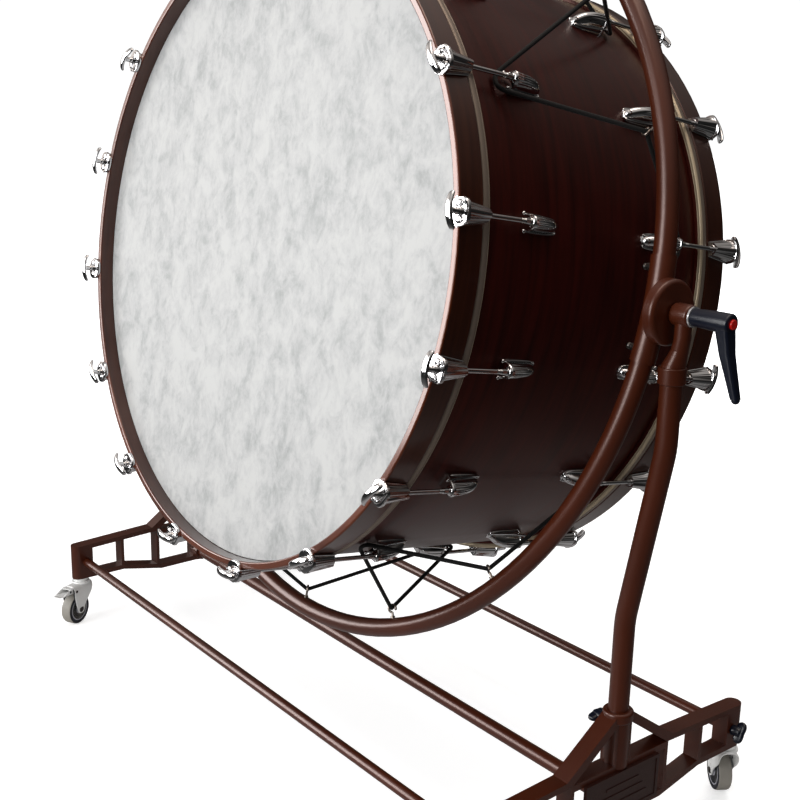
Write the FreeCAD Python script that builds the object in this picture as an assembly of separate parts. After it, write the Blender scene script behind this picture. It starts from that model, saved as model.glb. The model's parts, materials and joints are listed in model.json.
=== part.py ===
import FreeCAD, Part
import math
import os

# Concert bass drum hung on elastic cords inside a tilting tubular ring, on a wheeled stand.
# Millimetres. +Z is up, the floor is z = 0, +X runs along the pivot axis towards the right-hand
# side frame, and the struck head faces -Y. The origin is on the floor, midway between the wheels.

V = FreeCAD.Vector
ORIGIN = V(0, 0, 0)
X, Y, Z = V(1, 0, 0), V(0, 1, 0), V(0, 0, 1)

# ---------------------------------------------------------------- driving dimensions
PIVOT_H = 770.0          # height of the pivot axis
RING_TILT = -11.6        # ring leans back by this much
DRUM_TILT = -8.9         # the drum hangs a little more upright than its ring
DRUM_Y, DRUM_Z = 24.0, 756.0   # centre of the drum as it hangs in the cords

RING_R, RING_TUBE_R, TUBE_WALL = 583.0, 14.0, 2.0
SLEEVE_R, SLEEVE_HALF_DEG = 16.0, 6.5
PIVOT_DISC_R, PIVOT_DISC_X0, PIVOT_DISC_X1 = 41.0, 597.0, 612.0
PIVOT_PIN_R, RUNNING = 6.0, 0.05
BRACKET_BOLT_DEG = 5.1

SHELL_R, SHELL_WALL, SHELL_HALF = 457.2, 9.0, 231.9
FILM = 1.2
HEAD_Y = 232.0           # bearing edge plane
HOOP_RI, HOOP_RO = 459.0, 470.0
HOOP_Y0, HOOP_Y1 = 257.0, 217.0
FLESH_RI, FLESH_RO, FLESH_Y1 = 458.4, 469.6, 206.0

LUG_COUNT, LUG_PHASE = 16, 11.25
ROD_RHO, ROD_R = 476.5, 3.2
LUG_Y0, LUG_Y1 = 143.0, 77.0      # rod end and tail of a lug
LUG_SCREW_Y = (128.0, 102.0)

HOOK_WIRE_R, HOOK_LOOP_R, HOOK_RHO = 1.8, 5.5, 549.5
HOOK_TWIST = 35.0        # hooks are turned across the run of the cord
CORD_R, CORD_TAIL = 3.0, 62.0
CORD_RHO, LUG_BEND_R = 470.0, 16.6      # the cord's bend round the ears of a lug, below the rod
UPPER_HOOKS = (22.5, 157.5)
LOWER_HOOKS = (-45.0, -135.0)
HOOK_STEP = 22.5

FRAME_X, FRAME_T = 572.0, 26.0    # side frame's middle plane and thickness
POST_Y, FRAME_FOOT = 259.0, 87.0
SOCKET_R, SOCKET_FOOT_R, SOCKET_TOP, SOCKET_FLOOR = 17.5, 15.6, 228.0, 108.0
BAR_Y, BAR_Z, BAR_R = 246.0, 119.0, 8.0
CENTRE_BAR_Z, CENTRE_BAR_R = 89.0, 11.0
UPRIGHT_X, UPRIGHT_R = 616.0, 14.0
UPRIGHT_TOP = 700.0
HUB_X0, HUB_X1, HUB_R, HUB_AXIS_X = 612.5, 640.0, 14.0, 627.5
WASHER_X, LEVER_X = 640.1, 642.8      # inner faces of the washer and of the clamp lever
SOCKET_SCREW_Z = 203.0

CASTER_Y = 256.0
CASTER_TRAIL, WHEEL_R, WHEEL_W, RIM_R, AXLE_R = 20.0, 30.0, 22.0, 21.0, 4.0
STEM_R = 5.5
# each caster: name, side of the pivot axis, front or back, direction its wheel trails in, brake
CASTERS = (
    ("front_left", -1, -1, -62.0, True),
    ("front_right", 1, -1, -100.0, True),
    ("rear_left", -1, 1, 100.0, False),
    ("rear_right", 1, 1, 145.0, False),
)


# ---------------------------------------------------------------- helpers
def cyl(r, a, b):
    """Solid cylinder of radius r from point a to point b."""
    d = b - a
    return Part.makeCylinder(r, d.Length, a, d)


def box(x0, x1, y0, y1, z0, z1):
    return Part.makeBox(x1 - x0, y1 - y0, z1 - z0, V(x0, y0, z0))


def tube_y(ri, ro, y0, y1):
    """Ring round the Y axis from y0 to y1."""
    lo, hi = min(y0, y1), max(y0, y1)
    return cyl(ro, V(0, lo, 0), V(0, hi, 0)).cut(cyl(ri, V(0, lo - 1, 0), V(0, hi + 1, 0)))


def fuse(shapes):
    first = shapes[0]
    return first.fuse(shapes[1:]).removeSplitter() if len(shapes) > 1 else first


def prism_x(points, x0, x1):
    """Closed (y, z) outline extruded from x0 to x1."""
    pts = [V(x0, y, z) for y, z in points]
    return Part.Face(Part.makePolygon(pts + pts[:1])).extrude(V(x1 - x0, 0, 0))


def prism_y(points, y0, y1):
    """Closed (x, z) outline extruded from y0 to y1."""
    pts = [V(x, y0, z) for x, z in points]
    return Part.Face(Part.makePolygon(pts + pts[:1])).extrude(V(0, y1 - y0, 0))


def circle_wire(r, centre, normal):
    return Part.Wire(Part.makeCircle(r, centre, normal))


def turned(shape, centre, axis, deg):
    s = shape.copy()
    s.rotate(centre, axis, deg)
    return s


def moved(shape, offset):
    s = shape.copy()
    s.translate(offset)
    return s


def mirrored(shape):
    return shape.mirror(ORIGIN, X)


def fillet_ring_edges(shape, radius):
    """Rounds every circular edge of a ring or disc."""
    edges = [e for e in shape.Edges if isinstance(e.Curve, Part.Circle)]
    return shape.makeFillet(radius, edges)


def in_ring(shape):
    return moved(turned(shape, ORIGIN, X, RING_TILT), V(0, 0, PIVOT_H))


def in_drum(shape):
    return moved(turned(shape, ORIGIN, X, DRUM_TILT), V(0, DRUM_Y, DRUM_Z))


def to_world(point, tilt, centre):
    t = math.radians(tilt)
    y = point.y * math.cos(t) - point.z * math.sin(t)
    z = point.y * math.sin(t) + point.z * math.cos(t)
    return V(point.x, y, z) + centre


def at_angle(shape, deg):
    """A fitting modelled with its outward direction on +Z, put at deg round the Y axis."""
    return turned(shape, ORIGIN, Y, 90.0 - deg)


def to_back(shape):
    """The same fitting for the back of the drum."""
    return turned(shape, ORIGIN, Z, 180.0)


def both_sides(front):
    return front, to_back(front)


def round_the_drum(shape):
    step = 360.0 / LUG_COUNT
    return [in_drum(at_angle(shape, LUG_PHASE + step * i)) for i in range(LUG_COUNT)]


nodes = {}


def keep(name, shapes):
    solids = []
    for s in shapes if isinstance(shapes, (list, tuple)) else [shapes]:
        solids += s.Solids
    nodes[name] = solids[0] if len(solids) == 1 else Part.makeCompound(solids)


# ---------------------------------------------------------------- drum
shell = tube_y(SHELL_R - SHELL_WALL, SHELL_R, -SHELL_HALF, SHELL_HALF)
screw_hole = [cyl(3.1, V(0, -y, 440), V(0, -y, 460)) for y in LUG_SCREW_Y]
holes = []
for hole in screw_hole + [to_back(h) for h in screw_hole]:
    holes += [at_angle(hole, LUG_PHASE + 360.0 / LUG_COUNT * i) for i in range(LUG_COUNT)]
keep("shell", in_drum(shell.cut(holes)))

head = cyl(SHELL_R + 1.1, V(0, -HEAD_Y - FILM, 0), V(0, -HEAD_Y, 0))
head = head.fuse(tube_y(SHELL_R + 0.2, SHELL_R + 1.1, -HEAD_Y, -FLESH_Y1)).removeSplitter()
flesh = fillet_ring_edges(tube_y(FLESH_RI, FLESH_RO, -HOOP_Y1, -FLESH_Y1), 0.8)
hoop = fillet_ring_edges(tube_y(HOOP_RI, HOOP_RO, -HOOP_Y0, -HOOP_Y1), 2.5)
for side, name in enumerate(("front", "rear")):
    keep(name + "_head", in_drum(both_sides(head)[side]))
    keep(name + "_flesh_hoop", in_drum(both_sides(flesh)[side]))
    keep(name + "_counterhoop", in_drum(both_sides(hoop)[side]))


# Lug: a bullet that narrows from the rod end to the tail, on a saddle that fits the shell.
def make_lug():
    axis_z = 471.5
    profile = [(0, -LUG_Y0), (12.2, -LUG_Y0), (12.2, -126), (11.2, -106), (9.4, -92), (6.8, -82), (3.2, -LUG_Y1)]
    profile.append((0, -LUG_Y1))
    pts = [V(0, y, axis_z + r) for r, y in profile]
    bullet = Part.Face(Part.makePolygon(pts + pts[:1])).revolve(V(0, 0, axis_z), Y, 360)
    saddle = box(-9.0, 9.0, -LUG_Y0 + 1, -90, 450, axis_z)
    collar = cyl(7.2, V(0, -LUG_Y0 - 3.5, ROD_RHO), V(0, -LUG_Y0 + 1, ROD_RHO))
    parts = [bullet, saddle, collar]
    for s in (-1, 1):
        root, tip = V(9.0 * s, -LUG_Y0 + 2, 467), V(11.0 * s, -LUG_Y0 - 5, 467)
        parts += [cyl(1.9, root, tip), Part.makeSphere(2.7, tip)]
    lug = fuse(parts)
    lug = lug.cut(cyl(SHELL_R + 0.05, V(0, -200, 0), V(0, -50, 0)))
    lug = lug.cut(cyl(3.6, V(0, -LUG_Y0 - 5, ROD_RHO), V(0, -110, ROD_RHO)))
    lug = lug.cut(cyl(5.1, V(0, -LUG_Y0 + 2.5, ROD_RHO), V(0, -117, ROD_RHO)))
    for y in LUG_SCREW_Y:
        lug = lug.cut(cyl(3.1, V(0, -y, 450), V(0, -y, 466)))
    return lug


# Claw: a hollow-backed cone that hooks over the counterhoop's rim.
def make_claw():
    body = Part.makeCone(16.0, 9.2, 43.5, V(0, -262.5, 475.0), Y)
    lip = box(-13, 13, -263.5, -257.2, 457.5, 480)
    lip = lip.makeFillet(4.0, [e for e in lip.Edges if abs(e.BoundBox.YLength - 6.3) < 0.2])
    nose = cyl(9.0, V(0, -264.5, ROD_RHO), V(0, -260, ROD_RHO))
    claw = fuse([body, lip, nose])
    claw = claw.cut(cyl(HOOP_RO + 0.25, V(0, -257.1, 0), V(0, -180, 0)))
    return claw.cut(cyl(3.5, V(0, -270, ROD_RHO), V(0, -190, ROD_RHO)))


# Tension rod: threaded rod with a curved wing bar that is turned by hand.
def make_rod():
    wing_y = -275.5
    rod = cyl(ROD_R, V(0, -272, ROD_RHO), V(0, -112, ROD_RHO))
    hub = cyl(6.5, V(0, wing_y - 3.5, ROD_RHO), V(0, -264.7, ROD_RHO))
    centre = V(0, wing_y + 60, ROD_RHO - 5.5)
    wing = Part.makeCylinder(63, 11, centre, Z).cut(Part.makeCylinder(57.6, 11, centre, Z))
    wing = wing.common(box(-30, 30, wing_y - 10, wing_y + 12, 460, 490))
    ends = Part.makeCylinder(22, 40, V(0, wing_y - 20, ROD_RHO), Y)
    return fuse([rod, hub, wing.common(ends)])


def make_lug_screws():
    inner = SHELL_R - SHELL_WALL - 0.1
    out = []
    for y in LUG_SCREW_Y:
        out.append(cyl(5.5, V(0, -y, inner - 4), V(0, -y, inner)).fuse(
            cyl(3.0, V(0, -y, inner - 1), V(0, -y, 465.5))).removeSplitter())
    return Part.makeCompound(out)


def make_swivel_nut():
    nut = cyl(5.0, V(0, -140, ROD_RHO), V(0, -118, ROD_RHO))
    return nut.cut(cyl(3.25, V(0, -141, ROD_RHO), V(0, -117, ROD_RHO)))


for base, shape in (("claws", make_claw()), ("tension_rods", make_rod()), ("lugs", make_lug())):
    keep("front_" + base, round_the_drum(shape))
    keep("rear_" + base, round_the_drum(to_back(shape)))
keep("lug_screws", round_the_drum(make_lug_screws()) + round_the_drum(to_back(make_lug_screws())))
keep("swivel_nuts", round_the_drum(make_swivel_nut()) + round_the_drum(to_back(make_swivel_nut())))

# ---------------------------------------------------------------- suspension ring and its pivots
ring = Part.makeTorus(RING_R, RING_TUBE_R, ORIGIN, Y)
ring = ring.cut(Part.makeTorus(RING_R, RING_TUBE_R - TUBE_WALL, ORIGIN, Y))
keep("suspension_ring", in_ring(ring))


def torus_piece(major, minor, half_deg):
    """Piece of a torus round the Y axis, centred on +X."""
    face = Part.Face(circle_wire(minor, V(major, 0, 0), Z))
    return turned(face.revolve(ORIGIN, Y, 2 * half_deg), ORIGIN, Y, -half_deg)


sleeve = torus_piece(RING_R, SLEEVE_R, SLEEVE_HALF_DEG)
disc = cyl(PIVOT_DISC_R, V(PIVOT_DISC_X0, 0, 0), V(PIVOT_DISC_X1, 0, 0))
rim = [e for e in disc.Edges if isinstance(e.Curve, Part.Circle) and e.BoundBox.XMax > 610]
disc = disc.makeFillet(6.0, rim)
bracket = fuse([sleeve, disc])
bracket = bracket.cut(torus_piece(RING_R, RING_TUBE_R + 0.02, SLEEVE_HALF_DEG + 1))
bracket = bracket.cut(cyl(PIVOT_PIN_R, V(602, 0, 0), V(620, 0, 0)))
bolt = cyl(3.0, V(556, 0, 0), V(571.2, 0, 0)).fuse(Part.makeSphere(4.2, V(556.5, 0, 0)))
bolt = bolt.fuse(cyl(4.6, V(560, 0, 0), V(566.8, 0, 0))).removeSplitter()
bolts = []
for s in (-1, 1):
    bolts.append(turned(bolt, ORIGIN, Y, BRACKET_BOLT_DEG * s))
    bracket = bracket.cut(turned(cyl(3.02, V(560, 0, 0), V(569.2, 0, 0)), ORIGIN, Y, BRACKET_BOLT_DEG * s))
pin = cyl(PIVOT_PIN_R, V(602, 0, 0), V(660, 0, 0))
keep("right_ring_bracket", in_ring(bracket))
keep("left_ring_bracket", in_ring(mirrored(bracket)))
keep("right_pivot_pin", in_ring(pin))
keep("left_pivot_pin", in_ring(mirrored(pin)))
keep("bracket_bolts", [in_ring(b) for b in bolts + [mirrored(b) for b in bolts]])


# Hook: wire shank in the ring's wall and an open loop for the cord.
def make_hook(twist):
    top = HOOK_RHO + 2 * HOOK_LOOP_R
    shank = cyl(HOOK_WIRE_R, V(0, 0, top), V(0, 0, RING_R - RING_TUBE_R + 3))
    foot = cyl(3.4, V(0, 0, RING_R - RING_TUBE_R - 3), V(0, 0, RING_R - RING_TUBE_R + 0.2))
    centre = V(0, 0, HOOK_RHO + HOOK_LOOP_R)
    face = Part.Face(circle_wire(HOOK_WIRE_R, V(0, 0, top), X))
    loop = face.revolve(centre, Y, 285)
    tip = Part.makeSphere(HOOK_WIRE_R * 1.1, turned(Part.Vertex(V(0, 0, top)), centre, Y, 285).Point)
    return turned(fuse([shank, foot, loop, tip]), ORIGIN, Z, twist)


def hook_angles(span):
    n = int(round(abs(span[1] - span[0]) / HOOK_STEP)) + 1
    step = HOOK_STEP if span[1] > span[0] else -HOOK_STEP
    return [span[0] + step * i for i in range(n)]


# Each cord runs hook by hook round the ring and takes a front lug and a back lug in turn.
# It ends looped on the lugs beyond its first and last hook.
def polar(rho, deg, y):
    a = math.radians(deg)
    return V(rho * math.cos(a), y, rho * math.sin(a))


def cord_stops(span, first_side):
    """(centre of the bend, its radius) at each lug and hook, in order."""
    angles = hook_angles(span)
    half = (angles[1] - angles[0]) / 2
    stops, side = [], first_side
    for i in range(len(angles) + 1):
        lug_deg = angles[0] - half + 2 * half * i
        lug = polar(CORD_RHO, lug_deg, side * (LUG_Y0 + 3.0))
        stops.append((to_world(lug, DRUM_TILT, V(0, DRUM_Y, DRUM_Z)), LUG_BEND_R))
        if i < len(angles):
            hook = polar(HOOK_RHO, angles[i], 0)
            stops.append((to_world(hook, RING_TILT, V(0, 0, PIVOT_H)), HOOK_WIRE_R + CORD_R + 0.2))
        side = -side
    return stops


def unit(v):
    return v * (1.0 / v.Length)


def cord_path(stops, tail):
    """Wire of straight runs joined by tangent arcs round each stop."""
    corner = [c for c, r in stops]
    n = len(stops)
    for _ in range(25):
        ends = [tail_point(stops, corner, 0, 1, tail), tail_point(stops, corner, n - 1, n - 2, tail)]
        line = [ends[0]] + corner + [ends[1]]
        fresh = []
        for i, (centre, r) in enumerate(stops):
            a, b = unit(line[i] - line[i + 1]), unit(line[i + 2] - line[i + 1])
            mid = unit(a + b)
            fresh.append(centre - mid * (r / math.sin(a.getAngle(mid))))
        corner = fresh
    line = [ends[0]] + corner + [ends[1]]
    edges, last, runs = [], line[0], []
    for i, (centre, r) in enumerate(stops):
        a, b = unit(line[i] - line[i + 1]), unit(line[i + 2] - line[i + 1])
        mid = unit(a + b)
        back = r / math.tan(a.getAngle(mid))
        hub = line[i + 1] + mid * (r / math.sin(a.getAngle(mid)))
        start, stop = line[i + 1] + a * back, line[i + 1] + b * back
        edges += [Part.LineSegment(last, start).toShape(), Part.Arc(start, hub - mid * r, stop).toShape()]
        runs.append(round(r, 1))
        last = stop
    edges.append(Part.LineSegment(last, line[-1]).toShape())
    return edges, runs


def tail_point(stops, corner, i, j, tail):
    """Short free end that turns back beside the last lug, mirrored from the run that reaches it."""
    run = unit(corner[j] - corner[i])
    along = to_world(V(0, 1, 0), DRUM_TILT, ORIGIN)
    out = unit(V(corner[i].x, corner[i].y - DRUM_Y, corner[i].z - DRUM_Z))
    out = unit(out - along * out.dot(along))
    side = along.cross(out)
    return corner[i] + (run - side * (2 * run.dot(side))) * tail


def along_edge(edge, r):
    """Round bar of radius r along a straight edge or an arc."""
    a, b = edge.valueAt(edge.FirstParameter), edge.valueAt(edge.LastParameter)
    if isinstance(edge.Curve, Part.Line):
        return cyl(r, a, b)
    centre = edge.Curve.Center
    axis = (a - centre).cross(b - centre)
    face = Part.Face(circle_wire(r, a, edge.tangentAt(edge.FirstParameter)))
    return face.revolve(centre, axis, math.degrees(edge.Length / edge.Curve.Radius))


def cord_solid(span, first_side):
    path, radii = cord_path(cord_stops(span, first_side), CORD_TAIL)
    length = sum(e.Length for e in path)
    solid = fuse([along_edge(e, CORD_R) for e in path])
    print("cord radii", radii, "length", round(length, 1),
          "volume ratio", round(solid.Volume / (math.pi * CORD_R ** 2 * length), 4))
    return solid


hooks = []
for span, side in ((UPPER_HOOKS, 1), (LOWER_HOOKS, 1)):
    direction = 1 if span[1] > span[0] else -1
    for i, deg in enumerate(hook_angles(span)):
        front_ahead = (i % 2 == 0) == (side == 1)
        twist = HOOK_TWIST * direction * (-1 if front_ahead else 1)
        hooks.append(in_ring(at_angle(make_hook(twist), deg)))
keep("ring_hooks", hooks)
keep("upper_elastic_cord", cord_solid(UPPER_HOOKS, 1))
keep("lower_elastic_cord", cord_solid(LOWER_HOOKS, 1))

# ---------------------------------------------------------------- uprights
def bent_tube(r, corners, bend):
    """Tube of radius r along straight runs with rounded corners."""
    edges, last = [], corners[0]
    for i in range(1, len(corners) - 1):
        a, b = unit(corners[i - 1] - corners[i]), unit(corners[i + 1] - corners[i])
        mid = unit(a + b)
        h = a.getAngle(mid)
        start, stop = corners[i] + a * (bend / math.tan(h)), corners[i] + b * (bend / math.tan(h))
        hub = corners[i] + mid * (bend / math.sin(h))
        edges += [Part.LineSegment(last, start).toShape(), Part.Arc(start, hub - mid * bend, stop).toShape()]
        last = stop
    edges.append(Part.LineSegment(last, corners[-1]).toShape())
    profile = circle_wire(r, corners[0], unit(corners[1] - corners[0]))
    return Part.Wire(edges).makePipeShell([profile], True, False)


route = [V(FRAME_X, 0, SOCKET_FLOOR + 0.3), V(FRAME_X, 0, 358), V(UPRIGHT_X, 0, 600), V(UPRIGHT_X, 0, UPRIGHT_TOP)]
upright = bent_tube(UPRIGHT_R, route, 160.0).cut(bent_tube(UPRIGHT_R - TUBE_WALL, route, 160.0))

collar = cyl(17.5, V(UPRIGHT_X, 0, 684), V(UPRIGHT_X, 0, 705))
collar = fillet_ring_edges(collar, 1.5)
sections = [(15.5, UPRIGHT_X, 703.0), (10.8, 624.4, 727.0), (10.4, 626.8, 740.0), (10.4, HUB_AXIS_X, 766.0)]
neck = Part.makeLoft([circle_wire(r, V(x, 0, z), Z) for r, x, z in sections], True, True)
hub = cyl(HUB_R, V(HUB_X0, 0, PIVOT_H), V(HUB_X1, 0, PIVOT_H))
hub = fillet_ring_edges(hub, 4.5)
upright_head = fuse([collar, neck, hub])
upright_head = upright_head.cut(cyl(UPRIGHT_R, V(UPRIGHT_X, 0, 670), V(UPRIGHT_X, 0, UPRIGHT_TOP)))
upright_head = upright_head.cut(cyl(PIVOT_PIN_R + RUNNING, V(610, 0, PIVOT_H), V(645, 0, PIVOT_H)))
washer = cyl(12.5, V(WASHER_X, 0, PIVOT_H), V(WASHER_X + 2.2, 0, PIVOT_H))
washer = washer.cut(cyl(PIVOT_PIN_R + RUNNING, V(638, 0, PIVOT_H), V(645, 0, PIVOT_H)))

# Clamp lever: threaded barrel on the pivot pin, with a tapered arm that hangs down.
barrel = Part.makeCone(10.6, 12.4, 34.0, V(LEVER_X, 0, PIVOT_H), X)
barrel_end = cyl(12.4, V(LEVER_X + 34.0, 0, PIVOT_H), V(696.0, 0, PIVOT_H))
rim = [e for e in barrel_end.Edges if isinstance(e.Curve, Part.Circle) and e.BoundBox.XMin > 690]
barrel_end = barrel_end.makeFillet(3.0, rim)


def arm_section(x0, x1, half_y, z, corner):
    face = box(x0, x1, -half_y, half_y, z, z + 1)
    face = face.makeFillet(corner, [e for e in face.Edges if abs(e.BoundBox.ZLength - 1) < 1e-3])
    return [f.OuterWire for f in face.Faces if abs(f.CenterOfMass.z - z) < 1e-3 and abs(f.normalAt(0, 0).z) > 0.9][0]


arm = Part.makeLoft([arm_section(677, 695.4, 10.5, 764, 4.0), arm_section(685, 700, 8.8, 734, 4.0),
                     arm_section(704, 714.5, 6.0, 684, 4.0)], True, True)
tip = Part.makeSphere(5.2, V(709.6, 0, 683.5))
lever = fuse([barrel, barrel_end, arm, tip])
lever = lever.cut(cyl(PIVOT_PIN_R + RUNNING, V(640, 0, PIVOT_H), V(662, 0, PIVOT_H)))
lever = lever.cut(cyl(6.3, V(684, 0, PIVOT_H), V(697, 0, PIVOT_H)))
button = fillet_ring_edges(cyl(6.0, V(689, 0, PIVOT_H), V(699, 0, PIVOT_H)), 1.5)

for side, flip in (("right", False), ("left", True)):
    for name, shape in (("upright", upright), ("upright_head", upright_head), ("pivot_washer", washer),
                        ("clamp_lever", lever), ("lever_button", button)):
        keep(side + "_" + name, mirrored(shape) if flip else shape)


# ---------------------------------------------------------------- side frames
def make_side_frame(with_bolt_holes):
    x0, x1 = FRAME_X - FRAME_T / 2, FRAME_X + FRAME_T / 2
    half = [(POST_Y, FRAME_FOOT), (POST_Y, 154), (106, 160), (16, 224)]
    low = [(0, 69), (87, 69), (170, FRAME_FOOT)]
    outline = low + half + [(-y, z) for y, z in reversed(half)] + [(-y, z) for y, z in reversed(low[1:])]
    windows = (
        [(234, 96), (234, 146.5), (174, 148.5), (174, 96)],
        [(168, 95.5), (168, 148.7), (97, 151.3), (97, 80.5)],
        [(91, 78.5), (91, 142), (15, 142), (15, 78.5)],
        [(94, 152), (15, 152), (15, 209)],
    )
    parts = [prism_x(outline, x0, x1)]
    for s in (-1, 1):
        parts.append(cyl(FRAME_T / 2, V(FRAME_X, POST_Y * s, FRAME_FOOT), V(FRAME_X, POST_Y * s, 154)))
    body = fuse(parts)
    for s in (-1, 1):
        for w in windows:
            body = body.cut(prism_x([(y * s, z) for y, z in w], x0 - 1, x1 + 1))
    lip = cyl(21.0, V(FRAME_X, 0, 212), V(FRAME_X, 0, SOCKET_TOP))
    extra = [
        cyl(SOCKET_FOOT_R, V(FRAME_X, 0, 69), V(FRAME_X, 0, 150)),
        cyl(SOCKET_R, V(FRAME_X, 0, 146), V(FRAME_X, 0, SOCKET_TOP - 1)),
        fillet_ring_edges(lip, 4.0),
        cyl(9.0, V(548, 0, SOCKET_SCREW_Z), V(FRAME_X, 0, SOCKET_SCREW_Z)),
        cyl(16.0, V(545, 0, CENTRE_BAR_Z), V(FRAME_X, 0, CENTRE_BAR_Z)),
    ]
    body = fuse([body] + extra)
    tools = [
        cyl(UPRIGHT_R + 0.08, V(FRAME_X, 0, SOCKET_FLOOR), V(FRAME_X, 0, SOCKET_TOP + 5)),
        cyl(3.05, V(540, 0, SOCKET_SCREW_Z), V(FRAME_X, 0, SOCKET_SCREW_Z)),
        cyl(CENTRE_BAR_R + 0.02, V(544, 0, CENTRE_BAR_Z), V(555, 0, CENTRE_BAR_Z)),
    ]
    for s in (-1, 1):
        tools.append(cyl(BAR_R + 0.02, V(x0 - 1, BAR_Y * s, BAR_Z), V(x0 + 6, BAR_Y * s, BAR_Z)))
        tools.append(cyl(STEM_R, V(FRAME_X, CASTER_Y * s, FRAME_FOOT - 5), V(FRAME_X, CASTER_Y * s, 109)))
        if with_bolt_holes:
            tools.append(cyl(4.05, V(x0, BAR_Y * s, BAR_Z), V(x1 + 5, BAR_Y * s, BAR_Z)))
    return body.cut(tools)


keep("right_side_frame", make_side_frame(True))
keep("left_side_frame", mirrored(make_side_frame(False)))

# Name plate: a plain framed plate with three raised bars in place of any lettering.
plate_x = FRAME_X + FRAME_T / 2 + 0.02
plate = box(plate_x, plate_x + 5, -73, 73, 78, 143)
plate = plate.cut(box(plate_x + 4, plate_x + 6, -68, 68, 83, 138))
bars = [box(plate_x + 3, plate_x + 5, -50 + 9 * i, 50 - 9 * i, 95 + 13 * i, 99 + 13 * i) for i in range(3)]
keep("name_plate", fuse([plate] + bars).cut(cyl(SOCKET_FOOT_R + 0.05, V(FRAME_X, 0, 60), V(FRAME_X, 0, 160))))


# ---------------------------------------------------------------- crossbars and their bolts
def make_bar(r, y, z, end, bolt_end):
    bar = cyl(r, V(-end, y, z), V(end, y, z))
    bar = bar.cut(cyl(r - TUBE_WALL, V(-end + 25, y, z), V(end - 25, y, z)))
    if bolt_end:
        bar = bar.cut(cyl(4.05, V(end - 25.5, y, z), V(end + 1, y, z)))
    return bar


bar_end = FRAME_X - FRAME_T / 2 + 6
keep("front_crossbar", make_bar(BAR_R, -BAR_Y, BAR_Z, bar_end, True))
keep("rear_crossbar", make_bar(BAR_R, BAR_Y, BAR_Z, bar_end, True))
keep("centre_crossbar", make_bar(CENTRE_BAR_R, 0, CENTRE_BAR_Z, 555.0, False))


# Wing screw: metal shank with a moulded two-wing grip, modelled pointing along +X from x = 0.
def make_wing_screw(shank_r, shank_len, hub_r, span):
    parts = [cyl(shank_r, V(-shank_len, 0, 0), V(4, 0, 0)), cyl(hub_r, V(0, 0, 0), V(13, 0, 0))]
    for s in (-1, 1):
        wing = box(3, 19, 0, span / 2, -2.6, 2.6)
        wing = wing.makeFillet(2.5, [e for e in wing.Edges if abs(e.BoundBox.ZLength - 5.2) < 0.01])
        parts.append(turned(wing, ORIGIN, X, 0 if s > 0 else 180))
    return fuse(parts)


grip_x = FRAME_X + FRAME_T / 2 + 0.5
for name, s, twist in (("front_bar_bolt", -1, 25), ("rear_bar_bolt", 1, 32)):
    screw = turned(make_wing_screw(4.0, 42.0, 8.0, 36.0), ORIGIN, X, twist)
    keep(name, moved(screw, V(grip_x, BAR_Y * s, BAR_Z)))
screw = turned(make_wing_screw(3.0, 10.2, 6.5, 30.0), ORIGIN, X, 8)
socket_screw = moved(turned(screw, ORIGIN, Z, 180), V(547.5, 0, SOCKET_SCREW_Z))
keep("right_socket_screw", socket_screw)
keep("left_socket_screw", mirrored(socket_screw))


# ---------------------------------------------------------------- casters
def place_caster(shape, side, end, trail):
    return moved(turned(shape, ORIGIN, Z, trail), V(FRAME_X * side, CASTER_Y * end, 0))


def make_stem():
    """Swivel pin held in the frame's post; the fork turns on it. Trail direction is +X."""
    parts = [
        cyl(STEM_R, V(0, 0, 73), V(0, 0, 108.5)),
        cyl(14.0, V(0, 0, 83.6), V(0, 0, FRAME_FOOT)),
        cyl(9.0, V(0, 0, 73), V(0, 0, 75.6)),
    ]
    return fuse(parts)


def make_fork():
    leg = [(-15, 77), (36, 77), (39, 64), (29, 23), (11, 23), (-13, 60)]
    parts = [cyl(17.0, V(0, 0, 77), V(0, 0, 83)), box(-15, 36, -14.5, 14.5, 76, 79)]
    parts += [prism_y(leg, 12.0, 14.5), prism_y(leg, -14.5, -12.0)]
    fork = fuse(parts)
    fork = fork.cut(cyl(STEM_R + 0.06, V(0, 0, 60), V(0, 0, 90)))
    axis = V(CASTER_TRAIL, 0, WHEEL_R)
    fork = fork.cut(cyl(AXLE_R, axis + Y * -20, axis + Y * 20))
    fork = fork.cut(cyl(2.55, V(31, -20, 69), V(31, 20, 69)))
    axle = cyl(AXLE_R, axis + Y * -16, axis + Y * 16)
    for s in (-1, 1):
        axle = axle.fuse(cyl(6.2, axis + Y * (14.52 * s), axis + Y * (17.0 * s)))
    return Part.makeCompound([fork, axle.removeSplitter()])


def make_wheel_centre():
    axis = V(CASTER_TRAIL, 0, WHEEL_R)
    wheel = cyl(RIM_R, axis + Y * -10, axis + Y * 10)
    groove = cyl(RIM_R - 3.5, axis, axis + Y * 20).cut(cyl(7.5, axis, axis + Y * 20))
    wheel = wheel.cut(moved(groove, Y * 6.5)).cut(moved(groove, Y * -26.5))
    return wheel.cut(cyl(AXLE_R + 0.06, axis + Y * -20, axis + Y * 20))


def make_tyre():
    axis = V(CASTER_TRAIL, 0, WHEEL_R)
    tyre = cyl(WHEEL_R, axis + Y * (-WHEEL_W / 2), axis + Y * (WHEEL_W / 2))
    tyre = fillet_ring_edges(tyre, 3.5)
    return tyre.cut(cyl(RIM_R, axis + Y * -20, axis + Y * 20))


def make_pedal():
    """Brake pedal: pivots on a pin between the fork's legs; its outer end is pressed down."""
    side = [(26, 66), (27, 73), (44, 74), (60, 70), (82, 63), (82, 60.5), (60, 66), (45, 66), (36, 64.5)]
    pedal = prism_y(side, -10.5, 10.5)
    tread = box(62, 84, -13.5, 13.5, 60.5, 63.5)
    tread = turned(tread, V(72, 0, 62), Y, 16)
    pin = cyl(2.5, V(31, -14.3, 69), V(31, 14.3, 69))
    return fuse([pedal, tread, pin])


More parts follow.
